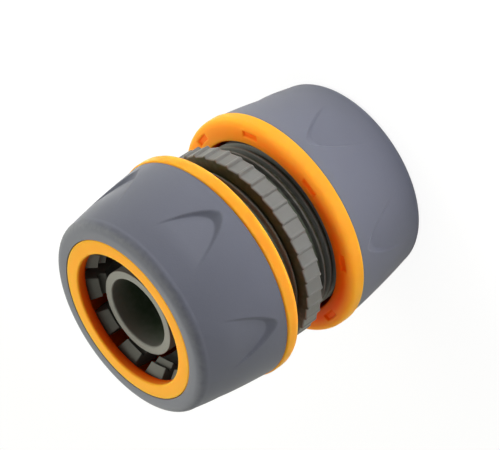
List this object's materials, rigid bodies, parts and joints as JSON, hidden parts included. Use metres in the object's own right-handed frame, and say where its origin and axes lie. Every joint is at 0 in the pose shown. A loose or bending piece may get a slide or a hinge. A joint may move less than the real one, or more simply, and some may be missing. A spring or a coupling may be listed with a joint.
{
  "type": "hose coupler",
  "caption": "Straight coupler that joins two garden hoses: a bored body with a spigot and gripping claws at each end, and a soft-grip clamping nut on each.",
  "frame": {"origin": "centre of the lower nut's end face, on the bore axis", "axes": "+Z along the bore from the lower end to the upper, -Y towards one thumb hollow of the upper nut"},
  "size_m": [0.048, 0.048, 0.06],
  "materials": {
    "body_plastic": "satin moulded grey",
    "shell_plastic": "satin moulded orange",
    "grip_rubber": "soft matte grey"
  },
  "bodies": {
    "body": {"coupler_body": "body_plastic"},
    "upper_nut": {"upper_nut_shell": "shell_plastic", "upper_nut_grip": "grip_rubber"},
    "lower_nut": {"lower_nut_shell": "shell_plastic", "lower_nut_grip": "grip_rubber"}
  },
  "joints": [
    {"name": "upper_nut_turn", "type": "hinge", "parent": "body", "child": "upper_nut", "pos_m": [0, 0, 0.0371], "axis": [0, 0, 1], "range_deg": [-1080, 1600]},
    {"name": "lower_nut_turn", "type": "hinge", "parent": "body", "child": "lower_nut", "pos_m": [0, 0, 0.0229], "axis": [0, 0, -1], "range_deg": [-1080, 1600]}
  ]
}
